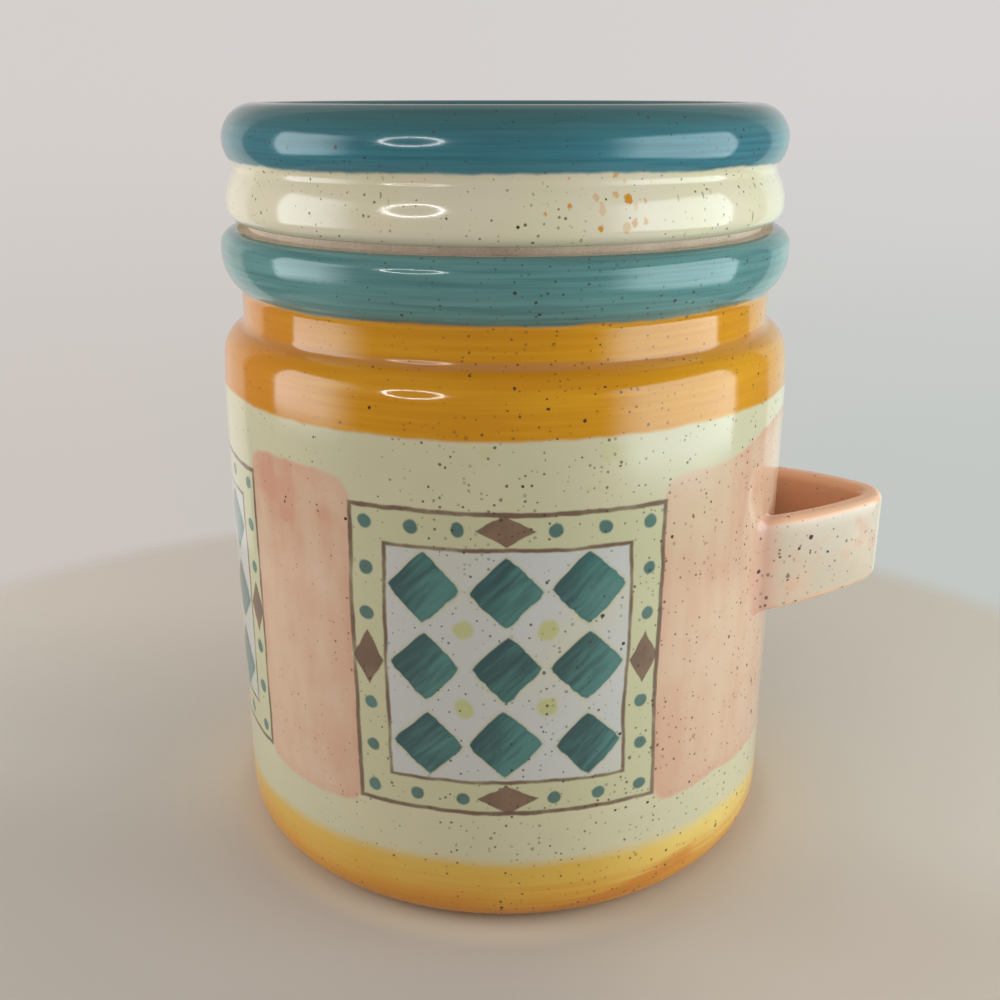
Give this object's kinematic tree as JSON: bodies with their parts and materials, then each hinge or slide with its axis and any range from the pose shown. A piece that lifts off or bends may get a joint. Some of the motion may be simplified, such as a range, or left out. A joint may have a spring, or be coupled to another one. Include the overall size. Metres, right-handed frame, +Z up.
{
  "type": "lidded ceramic crock",
  "caption": "Straight-sided ceramic crock with a necked, rolled rim, a strap handle on its side and a lift-off lid with a sunken top, for keeping dry goods.",
  "frame": {"origin": "middle of the crock's foot, on the surface that it stands on", "axes": "+Z up along the crock's axis, +X through the middle of the strap handle"},
  "size_m": [0.189, 0.16, 0.2072],
  "materials": {
    "crock_glaze": "hand-painted gloss glaze on a cream ground",
    "handle_glaze": "speckled pink gloss glaze",
    "lid_glaze": "gloss glaze, a blue-green roll over a cream roll"
  },
  "bodies": {
    "crock": {"crock_body": "crock_glaze", "strap_handle": "handle_glaze"},
    "lid": {"lid": "lid_glaze"}
  },
  "joints": [
    {"name": "lid_lift", "type": "slide", "parent": "crock", "child": "lid", "axis": [0, 0, 1], "range_m": [0, 0.12]}
  ]
}
